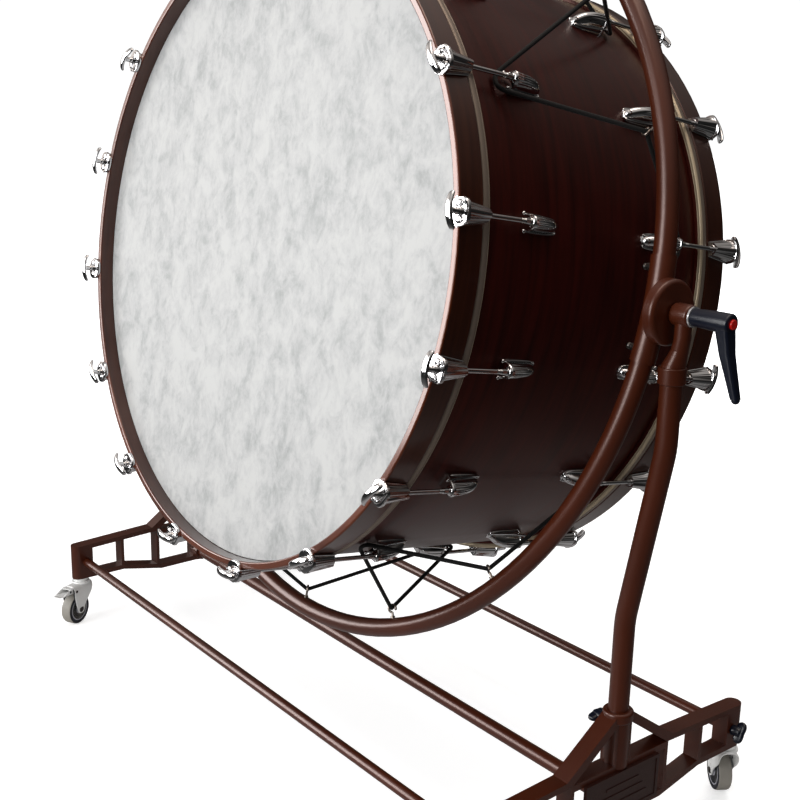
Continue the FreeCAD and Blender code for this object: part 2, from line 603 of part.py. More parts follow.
stems = []
for name, side, end, trail, brake in CASTERS:
    stems.append(place_caster(make_stem(), side, end, trail))
    keep(name + "_caster_fork", place_caster(make_fork(), side, end, trail))
    keep(name + "_wheel", place_caster(make_wheel_centre(), side, end, trail))
    keep(name + "_tyre", place_caster(make_tyre(), side, end, trail))
    if brake:
        keep(name + "_brake_pedal", place_caster(make_pedal(), side, end, trail))
keep("caster_stems", stems)

# ---------------------------------------------------------------- write the parts
os.makedirs("parts", exist_ok=True)
for name, shape in nodes.items():
    if not shape.isValid():
        print("not valid:", name)
    shape.exportStep("parts/" + name + ".step")
box_all = Part.makeCompound(list(nodes.values())).BoundBox
print(len(nodes), "nodes", [round(v, 1) for v in (
    box_all.XMin, box_all.XMax, box_all.YMin, box_all.YMax, box_all.ZMin, box_all.ZMax)])
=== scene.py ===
import bpy
import json
import math
import random
from mathutils import Matrix, Vector


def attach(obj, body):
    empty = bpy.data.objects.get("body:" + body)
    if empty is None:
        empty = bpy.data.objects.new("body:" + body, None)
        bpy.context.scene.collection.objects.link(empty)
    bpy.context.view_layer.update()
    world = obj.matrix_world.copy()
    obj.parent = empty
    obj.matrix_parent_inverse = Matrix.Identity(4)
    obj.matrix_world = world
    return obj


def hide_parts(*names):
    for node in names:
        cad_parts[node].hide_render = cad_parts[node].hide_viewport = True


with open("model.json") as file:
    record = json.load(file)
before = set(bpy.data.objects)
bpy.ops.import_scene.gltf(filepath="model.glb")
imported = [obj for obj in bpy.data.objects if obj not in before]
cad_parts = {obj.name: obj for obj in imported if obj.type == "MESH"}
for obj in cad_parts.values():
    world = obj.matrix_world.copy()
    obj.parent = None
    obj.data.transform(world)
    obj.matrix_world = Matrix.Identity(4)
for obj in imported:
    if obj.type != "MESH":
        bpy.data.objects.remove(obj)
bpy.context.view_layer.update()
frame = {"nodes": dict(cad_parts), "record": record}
NODES = frame["nodes"]
scene = bpy.context.scene
MM = 0.001

# ------------------------------------------------------------------ layout, in millimetres
# Y_ names are places along the drum's axis, towards the front head from its middle.
DRUM_TILT = math.radians(-8.9)
DRUM_CENTRE = Vector((0, 24.0, 756.0))
SHELL_R, HOOP_R = 457.2, 470.0
Y_HOOP_FACE, Y_HOOP_BACK = 257.0, 217.0
LUG_COUNT, LUG_PHASE = 16, 11.25
Y_LUG_MOUTH, Y_LUG_TAIL = 143.0, 85.0
ROD_RHO = 476.5
FRAME_X, CASTER_Y = 572.0, 256.0
WHEEL_AXLE = (20, 0, 30)
BRAKE_PIVOT = (31, 0, 69)
# name, side, end, the way the wheel trails in degrees, whether it has a brake
CASTERS = (
    ("front_left", -1, -1, -62.0, True),
    ("front_right", 1, -1, -100.0, True),
    ("rear_left", -1, 1, 100.0, False),
    ("rear_right", 1, 1, 145.0, False),
)
FLOOR_HALF, FLOOR_DROP = 16.0, 0.0005

IN_DRUM = Matrix.Translation(DRUM_CENTRE) @ Matrix.Rotation(DRUM_TILT, 4, "X")

# ------------------------------------------------------------------ camera, fitted to the photograph
CAMERA_AT = (1.51898, -1.15001, 1.02571)
CAMERA_YAW, CAMERA_PITCH, CAMERA_ROLL = math.radians(51.13), math.radians(-14.787), math.radians(1.272)
CAMERA_LENS, CAMERA_SHIFT_Y = 54.306, 0.0063


def set_camera():
    cam = bpy.data.cameras.new("camera")
    obj = bpy.data.objects.new("camera", cam)
    scene.collection.objects.link(obj)
    level = math.cos(CAMERA_PITCH)
    forward = Vector((-math.sin(CAMERA_YAW) * level, math.cos(CAMERA_YAW) * level, math.sin(CAMERA_PITCH)))
    right = Vector((math.cos(CAMERA_YAW), math.sin(CAMERA_YAW), 0))
    up = right.cross(forward)
    rolled_right = right * math.cos(CAMERA_ROLL) + up * math.sin(CAMERA_ROLL)
    rolled_up = up * math.cos(CAMERA_ROLL) - right * math.sin(CAMERA_ROLL)
    basis = Matrix((rolled_right, rolled_up, -forward)).transposed().to_4x4()
    obj.matrix_world = Matrix.Translation(CAMERA_AT) @ basis
    cam.sensor_width = 36.0
    cam.lens = CAMERA_LENS
    cam.shift_y = CAMERA_SHIFT_Y
    cam.clip_start, cam.clip_end = 0.05, 60.0
    scene.camera = obj


set_camera()


# ------------------------------------------------------------------ node helpers
class Nodes:
    """Short names for building the node tree of a material or a world."""

    def __init__(self, owner):
        owner.use_nodes = True
        self.owner = owner
        self.tree = owner.node_tree
        self.bsdf = self.tree.nodes.get("Principled BSDF")

    def new(self, kind, **values):
        node = self.tree.nodes.new(kind)
        for key, value in values.items():
            if key in node.inputs:
                node.inputs[key].default_value = value
            else:
                setattr(node, key, value)
        return node

    def link(self, a, b):
        self.tree.links.new(a, b)

    def feed(self, value, socket):
        """Links a socket, or sets a plain value."""
        if hasattr(value, "links"):
            self.link(value, socket)
        elif isinstance(value, tuple) and len(value) == 3 and len(socket.default_value) == 4:
            socket.default_value = (*value, 1)
        else:
            socket.default_value = value

    def set(self, **values):
        for key, value in values.items():
            self.bsdf.inputs[key.replace("_", " ")].default_value = value

    def coords(self, scale=(1, 1, 1), rotation=(0, 0, 0), location=(0, 0, 0)):
        tex = self.new("ShaderNodeTexCoord")
        mapping = self.new("ShaderNodeMapping", Scale=scale, Rotation=rotation, Location=location)
        self.link(tex.outputs["Object"], mapping.inputs["Vector"])
        return mapping.outputs["Vector"]

    def split(self, vector):
        node = self.new("ShaderNodeSeparateXYZ")
        self.link(vector, node.inputs[0])
        return node.outputs["X"], node.outputs["Y"], node.outputs["Z"]

    def flat(self, x, y):
        node = self.new("ShaderNodeCombineXYZ")
        self.link(x, node.inputs[0])
        self.link(y, node.inputs[1])
        return node.outputs[0]

    def noise(self, vector, scale, detail=4.0, roughness=0.5, distortion=0.0):
        node = self.new("ShaderNodeTexNoise", Scale=scale, Detail=detail, Roughness=roughness,
                        Distortion=distortion)
        self.link(vector, node.inputs["Vector"])
        return node.outputs["Fac"]

    def ramp(self, fac, stops):
        node = self.new("ShaderNodeValToRGB")
        while len(node.color_ramp.elements) < len(stops):
            node.color_ramp.elements.new(0.5)
        for element, (position, colour) in zip(node.color_ramp.elements, stops):
            element.position = position
            element.color = (*colour, 1)
        self.link(fac, node.inputs["Fac"])
        return node.outputs["Color"]

    def range(self, fac, lo, hi, a=0.0, b=1.0):
        node = self.new("ShaderNodeMapRange")
        for key, value in (("From Min", a), ("From Max", b), ("To Min", lo), ("To Max", hi)):
            node.inputs[key].default_value = value
        self.link(fac, node.inputs["Value"])
        return node.outputs["Result"]

    def mix(self, fac, a, b, blend="MIX"):
        node = self.new("ShaderNodeMix", data_type="RGBA", blend_type=blend)
        for socket, value in ((node.inputs[0], fac), (node.inputs[6], a), (node.inputs[7], b)):
            self.feed(value, socket)
        return node.outputs[2]

    def math(self, op, a, b=None):
        node = self.new("ShaderNodeMath", operation=op)
        self.feed(a, node.inputs[0])
        if b is not None:
            self.feed(b, node.inputs[1])
        return node.outputs[0]

    def vector_math(self, op, a, b):
        node = self.new("ShaderNodeVectorMath", operation=op)
        self.link(a, node.inputs[0])
        node.inputs[1].default_value = b
        return node.outputs["Value"]

    def either(self, test, no, yes):
        """One shader where the test is 0, another where it is 1."""
        node = self.new("ShaderNodeMixShader")
        for socket, value in zip(node.inputs, (test, no, yes)):
            self.link(value, socket)
        return node.outputs[0]

    def colour(self, socket):
        self.link(socket, self.bsdf.inputs["Base Color"])

    def rough(self, socket):
        self.link(socket, self.bsdf.inputs["Roughness"])

    def bump(self, height, strength, distance=0.001):
        node = self.new("ShaderNodeBump", Strength=strength, Distance=distance)
        self.link(height, node.inputs["Height"])
        self.link(node.outputs["Normal"], self.bsdf.inputs["Normal"])


def material_nodes(name):
    return Nodes(bpy.data.materials.new(name))


def srgb(r, g, b):
    return tuple(((c / 255 + 0.055) / 1.055) ** 2.4 if c > 10 else c / 255 / 12.92 for c in (r, g, b))


def shades(colour, *factors):
    return [tuple(c * f for c in colour) for f in factors]


def greys(*stops):
    """Grey ramp stops from pairs of place and brightness."""
    return [(place, (grey, grey, grey)) for place, grey in stops]


# ------------------------------------------------------------------ materials
def head_film():
    """Cloudy grey-white film: soft blotches, a little longer than wide, over a pale ground."""
    n = material_nodes("head_film")
    v = n.coords((1.0, 1.0, 0.80), (-DRUM_TILT, 0, 0))
    drift = n.noise(v, 11.0, 3.0, 0.55, 0.6)
    blotch = n.noise(v, 30.0, 6.0, 0.66, 0.5)
    speck = n.noise(n.coords((1.0, 1.0, 0.6)), 150.0, 5.0, 0.75)
    cloud = n.math("ADD", n.math("MULTIPLY", blotch, 0.52), n.math("MULTIPLY", speck, 0.22))
    cloud = n.math("ADD", cloud, n.math("MULTIPLY", drift, 0.26))
    n.colour(n.ramp(cloud, [(0.38, srgb(160, 162, 162)), (0.45, srgb(178, 180, 180)),
                            (0.50, srgb(190, 191, 191)), (0.57, srgb(200, 201, 200))]))
    n.set(Roughness=0.50, Specular_IOR_Level=0.30)
    n.bump(speck, 0.06, 0.0005)
    return n.owner


def drum_wood(name, dark, light, rough, coat, painted_side_shade=1.0):
    """Lacquered wood, its grain running round the drum. The last argument darkens a hoop's sides behind its
    front face, as painted shade.
    """
    n = material_nodes(name)
    v = n.coords((1, 1, 1), (-DRUM_TILT, 0, 0), -MM * (Matrix.Rotation(-DRUM_TILT, 3, "X") @ DRUM_CENTRE))
    x, y, z = n.split(v)
    theta = n.math("ARCTAN2", x, z)
    grain = n.noise(n.flat(n.math("MULTIPLY", theta, 0.9), n.math("MULTIPLY", y, 34.0)), 3.0, 8.0, 0.62, 0.5)
    patch = n.noise(v, 3.2, 3.0, 0.5)
    pore = n.noise(n.flat(n.math("MULTIPLY", theta, 24.0), n.math("MULTIPLY", y, 900.0)), 1.0, 2.0, 0.5)
    base = n.ramp(grain, [(0.32, dark), (0.68, light)])
    stained = n.mix(1.0, base, n.ramp(patch, greys((0.30, 0.72), (0.70, 1.0))), "MULTIPLY")
    # Painted shade: behind the hoop's front face, its sides are darkened to stand in for the shade they sit
    # in.
    face = Y_HOOP_FACE * MM
    painted_shade_behind_face = n.range(n.math("ABSOLUTE", y), painted_side_shade, 1.0, face - 0.003, face - 0.0005)
    n.colour(n.mix(1.0, stained, painted_shade_behind_face, "MULTIPLY"))
    n.rough(n.range(grain, rough - 0.04, rough + 0.06))
    n.set(Coat_Weight=coat, Coat_Roughness=0.12, Coat_IOR=1.5, Specular_IOR_Level=0.5,
          Specular_Tint=(1.0, 0.46, 0.36, 1))
    n.bump(pore, 0.12, 0.0004)
    return n.owner


def paint(name, col, rough=0.42):
    """Powder coat with a fine orange-peel skin."""
    n = material_nodes(name)
    v = n.coords()
    tone = n.noise(v, 7.0, 3.0)
    peel = n.noise(v, 520.0, 2.0, 0.5)
    n.colour(n.mix(n.range(tone, 0.0, 1.0, 0.3, 0.7), *shades(col, 0.82, 1.12)))
    n.rough(n.range(peel, rough - 0.05, rough + 0.07, 0.3, 0.7))
    n.set(Specular_IOR_Level=0.5, Specular_Tint=(1.0, 0.72, 0.66, 1), Coat_Weight=0.30, Coat_Roughness=0.22)
    n.bump(peel, 0.12, 0.0003)
    return n.owner


def metal(name, col, rough, vary=0.05, scale=60.0, bump=0.0, metallic=1.0):
    """Metal with a cloudy polish; a metallic share below 1 stands for a dull plated or zinc skin."""
    n = material_nodes(name)
    cloud = n.noise(n.coords(), scale, 5.0, 0.6)
    n.colour(n.mix(cloud, *shades(col, 0.93, 1.0)))
    n.rough(n.range(cloud, max(rough - vary, 0.02), rough + vary, 0.3, 0.7))
    n.set(Metallic=metallic)
    if bump:
        n.bump(cloud, bump, 0.0003)
    return n.owner


def plastic(name, col, rough, grain=900.0, bump=0.12):
    """Moulded plastic or rubber with a fine grain."""
    n = material_nodes(name)
    v = n.coords()
    tone = n.noise(v, 30.0, 4.0)
    n.colour(n.mix(tone, *shades(col, 0.8, 1.15)))
    n.rough(n.range(tone, rough - 0.05, rough + 0.05, 0.3, 0.7))
    n.bump(n.noise(v, grain, 2.0), bump, 0.0003)
    return n.owner


def elastic():
    """Black braided cover over rubber."""
    n = material_nodes("elastic_cover")
    cell = n.new("ShaderNodeTexVoronoi", Scale=650.0)
    n.link(n.coords(), cell.inputs["Vector"])
    strand = cell.outputs["Distance"]
    n.colour(n.mix(strand, (0.003, 0.003, 0.003), (0.010, 0.009, 0.009)))
    n.set(Roughness=0.7, Sheen_Weight=0.06, Sheen_Roughness=0.5, Specular_IOR_Level=0.2)
    n.bump(strand, 0.5, 0.0005)
    return n.owner


MATS = {
    "head_film": head_film(),
    "shell_wood": drum_wood("shell_wood", srgb(30, 2, 2), srgb(62, 12, 7), 0.32, 0.0),
    # The hoop's sides behind its front face are darkened to 0.36 as painted shade.
    "hoop_wood": drum_wood("hoop_wood", srgb(64, 24, 8), srgb(100, 46, 20), 0.34, 0.9, 0.36),
    "flesh_hoop_metal": metal("flesh_hoop_metal", srgb(188, 172, 146), 0.42, 0.06, 90.0, 0.05, 0.55),
    # A darker copy of the flesh hoop's metal for the band's outer side: painted shade.
    "flesh_hoop_painted_shade": metal("flesh_hoop_painted_shade", srgb(136, 122, 110), 0.46, 0.06, 90.0, 0.05, 0.5),
    "chrome_fittings": metal("chrome_fittings", (0.80, 0.80, 0.81), 0.07, 0.03, 25.0),
    "stand_paint": paint("stand_paint", srgb(66, 25, 8), 0.34),
    "plate_paint": paint("plate_paint", srgb(44, 16, 10)),
    "zinc_steel": metal("zinc_steel", srgb(246, 247, 246), 0.34, 0.10, 40.0, 0.06, 0.06),
    "hook_wire": metal("hook_wire", srgb(150, 140, 132), 0.30, 0.06),
    "washer_steel": metal("washer_steel", srgb(226, 226, 228), 0.20, 0.05, 60.0, 0.0, 0.7),
    "screw_steel": metal("screw_steel", srgb(84, 80, 78), 0.30, 0.05),
    "nut_brass": metal("nut_brass", srgb(196, 160, 96), 0.3, 0.06),
    "black_plastic": plastic("black_plastic", (0.004, 0.006, 0.015), 0.32),
    "red_plastic": plastic("red_plastic", srgb(190, 22, 16), 0.25, 400.0, 0.04),
    "elastic_cover": elastic(),
    "caster_tread": plastic("caster_tread", srgb(148, 144, 136), 0.60, 500.0, 0.2),
    "caster_centre": plastic("caster_centre", srgb(178, 179, 188), 0.42, 300.0, 0.1),
}

for entry in frame["record"]["subparts"]:
    obj = NODES[entry["node"]]
    obj.data.materials.clear()
    obj.data.materials.append(MATS[entry["material_slot"]])


# ------------------------------------------------------------------ mesh helpers
def turns(n):
    """Angles of n points round a ring."""
    return [2 * math.pi * k / n for k in range(n)]


def arch(n):
    """Angles of n steps over half a turn, with both ends."""
    return [math.pi * k / n for k in range(n + 1)]


def blunt(value, power):
    """Cosine or sine pushed outwards, so that a ring of them is squarer than an ellipse."""
    return math.copysign(abs(value) ** power, value)


def flipped(profile, side):
    """Lathe profile on the +1 or -1 side of its origin."""
    return [(along * side, radius) for along, radius in profile]


class Shape:
    """Vertices and faces gathered in millimetres, with one material index per face."""

    def __init__(self):
        self.verts, self.faces, self.mats = [], [], []

    def skin(self, rings, mat=0):
        """Faces between rings of equally many points. Gives the first vertex of the first and last ring."""
        start, n = len(self.verts), len(rings[0])
        for ring in rings:
            self.verts += [Vector(p) for p in ring]
        for i in range(len(rings) - 1):
            for j in range(n):
                a, b = start + i * n + j, start + i * n + (j + 1) % n
                self.faces.append((a, b, b + n, a + n))
                self.mats.append(mat)
        return start, start + (len(rings) - 1) * n

    def loft(self, rings, mat=0):
        """Closed form through the rings, with a flat cap at each end."""
        n = len(rings[0])
        first, last = self.skin(rings, mat)
        self.faces.append(tuple(range(first + n - 1, first - 1, -1)))
        self.faces.append(tuple(range(last, last + n)))
        self.mats += [mat, mat]

    def add(self, other, matrix):
        start = len(self.verts)
        self.verts += [matrix @ p for p in other.verts]
        self.faces += [tuple(i + start for i in f) for f in other.faces]
        self.mats += other.mats
        return self

    def lathe(self, profile, origin=(0, 0, 0), axis="Y", n=32, mat=0):
        """Profile of (distance along the axis, radius)."""
        rings = []
        for a, r in profile:
            ring = []
            for t in turns(n):
                c, s = r * math.cos(t), r * math.sin(t)
                p = {"X": (a, c, s), "Y": (s, a, c), "Z": (c, s, a)}[axis]
                ring.append(Vector(origin) + Vector(p))
            rings.append(ring)
        self.loft(rings, mat)

    def tube(self, path, radius, n=12, mat=0):
        """Round bar along a list of points."""
        last = len(path) - 1
        tangents = [(path[min(i + 1, last)] - path[max(i - 1, 0)]).normalized() for i in range(last + 1)]
        side = tangents[0].orthogonal().normalized()
        rings = []
        for p, t in zip(path, tangents):
            side = (side - t * side.dot(t)).normalized()
            other = t.cross(side)
            rings.append([p + side * (radius * math.cos(a)) + other * (radius * math.sin(a))
                          for a in turns(n)])
        self.loft(rings, mat)

    def ball(self, centre, radii, n=16, m=9):
        rx, ry, rz = radii
        rings = []
        for i in range(m + 1):
            a = math.pi * (0.02 + 0.96 * i / m)
            wide = math.sin(a)
            rings.append([Vector(centre) + Vector((rx * wide * math.cos(t), ry * wide * math.sin(t),
                                                   -rz * math.cos(a))) for t in turns(n)])
        self.loft(rings)

    def build(self, name, mats, body, slot, replaced, bevel=0.0, smooth=35.0):
        """Object from this shape, riding on a body in place of a CAD node."""
        mesh = bpy.data.meshes.new(name)
        mesh.from_pydata([tuple(p * MM) for p in self.verts], [], self.faces)
        for m in mats:
            mesh.materials.append(MATS[m])
        mesh.polygons.foreach_set("material_index", self.mats)
        mesh.validate()
        mesh.update()
        mesh.shade_smooth()
        mesh.set_sharp_from_angle(angle=math.radians(smooth))
        obj = bpy.data.objects.new(name, mesh)
        scene.collection.objects.link(obj)
        if bevel:
            add_bevel(obj, bevel)
        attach(obj, body)
        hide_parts(replaced)
        return obj


def add_bevel(obj, width, segments=3, angle=35.0):
    mod = obj.modifiers.new("edge", "BEVEL")
    mod.width = width * MM
    mod.segments = segments
    mod.limit_method = "ANGLE"
    mod.angle_limit = math.radians(angle)
    mod.harden_normals = True


def smooth_curve(points, steps=6):
    """Catmull-Rom points through the given ones."""
    pts = [Vector(p) for p in points]
    out = []
    for i in range(len(pts) - 1):
        p0, p1, p2, p3 = pts[max(i - 1, 0)], pts[i], pts[i + 1], pts[min(i + 2, len(pts) - 1)]
        for k in range(steps):
            t = k / steps
            out.append(0.5 * ((2 * p1) + (p2 - p0) * t + (2 * p0 - 5 * p1 + 4 * p2 - p3) * t * t
                              + (3 * p1 - p0 - 3 * p2 + p3) * t ** 3))
    return out + [pts[-1]]


def round_the_drum(shape, back, spin=None):
    """The fitting at each of the lug positions. Modelled with +Z outwards, towards the front head (-Y)."""
    out = Shape()
    for i in range(LUG_COUNT):
        deg = LUG_PHASE + 360.0 / LUG_COUNT * i
        m = IN_DRUM @ Matrix.Rotation(math.radians(90.0 - deg), 4, "Y")
        if back:
            m = m @ Matrix.Rotation(math.pi, 4, "Z")
        if spin:
            m = m @ spin(i + (100 if back else 0))
        out.add(shape, m)
    return out


# ------------------------------------------------------------------ lugs
def lug_shape():
    """Fluted casting with a rail down each side that starts in a ball beside the rod."""
    s = Shape()
    length = Y_LUG_MOUTH - Y_LUG_TAIL
    half_width, high, squareness = 10.4, 26.6, 0.86
    sunk = SHELL_R - 0.6
    rings = []
    for i in range(25):
        t = i / 24
        tail = math.sqrt(max(1 - max(t - 0.80, 0) ** 2 / 0.0404, 0.0))
        half = (half_width - 2.9 * t ** 1.3) * (0.25 + 0.75 * tail)
        top = high * math.sqrt(max(1 - (t * 0.992) ** 2.5, 0.0)) + 0.9
        flute = max(0.0, 1 - t / 0.62) ** 0.5
        ring = []
        for a in arch(72):
            rib = 1 - 0.05 * flute * (0.5 + 0.5 * math.cos(20 * a)) ** 2
            ring.append((half * rib * blunt(math.cos(a), squareness), -Y_LUG_MOUTH + length * t,
                         sunk + top * rib * math.sin(a) ** 0.72))
        rings.append(ring)
    s.loft(rings)
    # rim round the open end
    rings = []
    for inwards, grow in ((4.4, 0.0), (4.0, 0.9), (0.4, 1.0), (-0.8, 0.2), (-0.8, -1.6)):
        rings.append([((half_width + grow) * blunt(math.cos(a), squareness), -Y_LUG_MOUTH + inwards,
                       sunk + (27.5 + grow) * math.sin(a) ** 0.72) for a in arch(40)])
    s.loft(rings)
    # foot that follows the shell
    rings = []
    for z, grow in ((-1.0, 1.5), (1.6, 1.6), (2.6, 1.1), (3.0, 0.2)):
        ring = []
        for a in turns(40):
            half = half_width - 2.6 * ((math.sin(a) + 1) / 2) ** 1.3 + grow
            along = (length / 2 + grow * 0.5) * blunt(math.sin(a), 0.6)
            ring.append((half * blunt(math.cos(a), 0.45), -Y_LUG_MOUTH + length / 2 + along, SHELL_R + z))
        rings.append(ring)
    s.loft(rings)
    # rail along each side, from its ball to the tail
    for e in (-1, 1):
        s.tube(smooth_curve([(11.1 * e, -Y_LUG_MOUTH - 5.0, 467.8), (11.0 * e, -Y_LUG_MOUTH + 1, 467.0),
                             (10.9 * e, -126, 464.6), (10.2 * e, -106, 462.6), (8.4 * e, -88, 461.0),
                             (5.2 * e, -Y_LUG_TAIL - 1.6, 460.2), (0.0, -Y_LUG_TAIL + 0.2, 460.0)]), 1.45, 10)
        s.ball((11.1 * e, -Y_LUG_MOUTH - 5.6, 467.9), (2.75, 2.75, 2.75), 16, 10)
    # swivel collar where the rod enters
    collar = ((2, 6.8), (-1.0, 6.9), (-1.6, 6.2), (-2.0, 5.0), (-3.6, 5.0), (-4.2, 4.4), (-4.2, 3.4))
    s.lathe([(-Y_LUG_MOUTH + inwards, r) for inwards, r in collar], (0, 0, ROD_RHO), "Y", 28)
    return s


# ------------------------------------------------------------------ claws
def claw_shape():
    """Fluted half-bell that widens to the hoop's front edge, with a channel ridge for the rod."""
    s = Shape()
    base = HOOP_R + 0.3
    lip = Y_HOOP_FACE + 4.5
    rings = []
    for i in range(15):
        t = i / 14
        half = 16.6 - 7.2 * t ** 0.82
        high = 20.6 - 5.6 * t
        ring = []
        for a in arch(96):
            off_rod = (a - math.pi / 2) / (3.6 / (half + 4))
            on_ridge = math.exp(-off_rod ** 4)
            rib = 1 - 0.028 * (0.5 + 0.5 * math.cos(22 * a)) ** 2 * (1 - on_ridge) * (1 - 0.5 * t)
            ring.append((half * rib * blunt(math.cos(a), 0.8), -lip + 43.0 * t,
                         base + high * rib * math.sin(a) ** 0.7 * 0.93 + 1.9 * on_ridge))
        rings.append(ring)
    s.loft(rings)
    for e in (-1, 1):
        s.tube(smooth_curve([(16.6 * e, -lip - 1.0, base + 1.5), (13.6 * e, -246, base + 1.5),
                             (11.2 * e, -230, base + 1.5), (9.4 * e, -218.6, base + 1.6)]), 1.5, 10)
    # band and plate over the hoop's front edge, with a lobe on each side of the rod
    rings = []
    for ahead, k in ((-0.2, 0.93), (0.4, 1.0), (3.4, 1.0), (4.6, 0.95), (5.0, 0.82)):
        ring = []
        for a in turns(48):
            half = 17.4 - 3.6 * max(-math.sin(a), 0)
            reach = 17.6 if math.sin(a) > 0 else 15.2
            ring.append((half * k * blunt(math.cos(a), 0.62), -Y_HOOP_FACE - ahead,
                         473.4 + reach * k * blunt(math.sin(a), 0.75)))
        rings.append(ring)
    s.loft(rings)
    for e in (-1, 1):
        s.ball((9.6 * e, -Y_HOOP_FACE - 4.8, 476.2), (5.0, 2.4, 7.6), 20, 12)
    # swivel in front and collar behind, where the rod passes through
    s.lathe([(-260, 6.0), (-264.2, 5.8), (-265.2, 5.0), (-265.4, 3.4)], (0, 0, ROD_RHO), "Y", 28)
    s.lathe([(-221, 5.6), (-218.2, 5.6), (-217.4, 5.0), (-217.4, 3.2)], (0, 0, ROD_RHO + 0.4), "Y", 24)
    return s


# ------------------------------------------------------------------ tension rods
def rod_shape():
    """Rod with a short thread at the lug and a crescent handle with squared tips."""
    s = Shape()
    grooves = []
    for i in range(5):
        y = -163.0 + 1.5 * i
        grooves += [(y, 3.2), (y + 0.5, 2.95), (y + 1.0, 2.95)]
    shank = [(-268, 3.2), (-164, 3.2)]
    nut = [(-155.4, 3.3), (-155.0, 3.9), (-146, 3.9), (-145.4, 3.4), (-140, 3.3)]
    neck = [(-265.0, 4.6), (-267.6, 4.6), (-268.6, 4.0), (-271.0, 3.7), (-278.0, 4.2)]
    s.lathe(shank + grooves + nut, (0, 0, ROD_RHO), "Y", 24)
    s.lathe(neck, (0, 0, ROD_RHO), "Y", 28)
    rings = []
    for i in range(33):
        t = -1 + 2 * i / 32
        body = math.sqrt(max(1 - abs(t) ** 14, 0.0)) * 0.97 + 0.03
        deep, high = (full * (1 - 0.16 * t * t) * body for full in (3.3, 5.4))
        x, y = 23.2 * t, -278.8 + 6.8 * abs(t) ** 2.2
        slope = math.radians(26) * t * abs(t)
        ring = []
        for a in turns(28):
            dy = deep * blunt(math.cos(a), 0.8)
            if dy > 0:
                dy *= 0.72
            ring.append((x - dy * math.sin(slope), y + dy * math.cos(slope),
                         ROD_RHO + high * blunt(math.sin(a), 0.8)))
        rings.append(ring)
    s.loft(rings)
    return s


def handle_spin(i):
    """Each T-handle stops at its own angle."""
    rng = random.Random(40 + i)
    turn = Matrix.Rotation(math.radians(rng.uniform(-11, 11)), 4, "Y")
    return Matrix.Translation((0, 0, ROD_RHO)) @ turn @ Matrix.Translation((0, 0, -ROD_RHO))


def build_fittings():
    lug, claw, rod = lug_shape(), claw_shape(), rod_shape()
    for back, side in ((False, "front"), (True, "rear")):
        for shape, name, replaced, spin in (
                (lug, "_lug_castings", "_lugs", None),
                (claw, "_claw_hooks", "_claws", None),
                (rod, "_rods_and_handles", "_tension_rods", handle_spin)):
            round_the_drum(shape, back, spin).build(side + name, ["chrome_fittings"], "tilting_drum",
                                                    "chrome_fittings", side + replaced)


build_fittings()


# ------------------------------------------------------------------ flesh hoops
def build_flesh_hoops():
    """Rolled band: a round edge towards the shell, and a side in a darker copy of the metal as painted shade,
    over the film's collar, which takes the shell's dark wood as painted shadow in the gap between shell and
    band.
    """
    collar = [(-Y_HOOP_BACK, 458.6), (-206.3, 458.6), (-206.3, 457.3), (-205.7, 457.3)]
    edge = [(-205.7, 462.6), (-205.9, 463.4), (-205.3, 464.6), (-205.0, 466.2), (-205.4, 467.8),
            (-206.4, 469.0)]
    side_face = [(-207.6, 469.6), (-208.6, 469.3), (-208.9, 468.8), (-209.3, 468.8), (-209.6, 469.4),
                 (-214.6, 469.7), (-216.0, 469.0), (-Y_HOOP_BACK, 467.4), (-Y_HOOP_BACK, 458.6)]
    profile = collar + edge + side_face
    last_painted_shadow, last_before_painted_shade = len(collar), len(collar + edge)
    n = 384
    for back, side in ((False, "front"), (True, "rear")):
        s = Shape()
        for y, r in profile:
            for a in turns(n):
                s.verts.append(IN_DRUM @ Vector((r * math.sin(a), -y if back else y, r * math.cos(a))))
        for i in range(len(profile) - 1):
            for k in range(n):
                a, b = i * n + k, i * n + (k + 1) % n
                s.faces.append((a + n, b + n, b, a) if back else (a, b, b + n, a + n))
                # Faces up to the collar's end take the shell's dark wood as painted shadow; faces past the
                # round edge take the darker copy of the metal as painted shade.
                s.mats.append(1 if i < last_painted_shadow else 0 if i < last_before_painted_shade else 2)
        s.build(side + "_flesh_rim", ["flesh_hoop_metal", "shell_wood", "flesh_hoop_painted_shade"], "tilting_drum",
                "flesh_hoop_metal", side + "_flesh_hoop", smooth=40)


build_flesh_hoops()


# ------------------------------------------------------------------ casters
def fork_shape():
    """Middle sheet of the pressed U-shaped fork under the ball race. The wheel trails towards +X."""
    # width from the middle, height, and the sheet's two edges, from the axle up to the middle of the crown
    half = [(13.4, 22.6, 17.0, 23.0), (13.4, 23.6, 14.4, 25.6), (13.4, 25.6, 12.4, 27.6),
            (13.4, 29.0, 11.2, 29.0), (13.5, 34.0, 9.6, 30.6), (13.6, 40.0, 5.6, 32.4),
            (13.7, 46.0, 0.0, 34.2), (13.8, 52.0, -6.2, 35.8), (13.8, 57.0, -10.8, 36.8),
            (13.8, 62.0, -13.8, 37.4), (13.6, 67.0, -15.6, 37.2), (12.9, 71.0, -16.4, 36.4),
            (11.0, 74.4, -16.9, 35.0), (7.6, 76.6, -17.0, 33.6), (3.6, 77.4, -17.0, 32.8)]
    rows = half + [(0.0, 77.6, -17.0, 32.6)] + [(-y, z, a, b) for y, z, a, b in reversed(half)]
    s, n = Shape(), 17
    for y, z, near, far in rows:
        for k in range(n):
            s.verts.append(Vector((near + (far - near) * k / (n - 1), y, z)))
    for i in range(len(rows) - 1):
        for k in range(n - 1):
            a = i * n + k
            s.faces.append((a, a + 1, a + n + 1, a + n))
            s.mats.append(0)
    return s


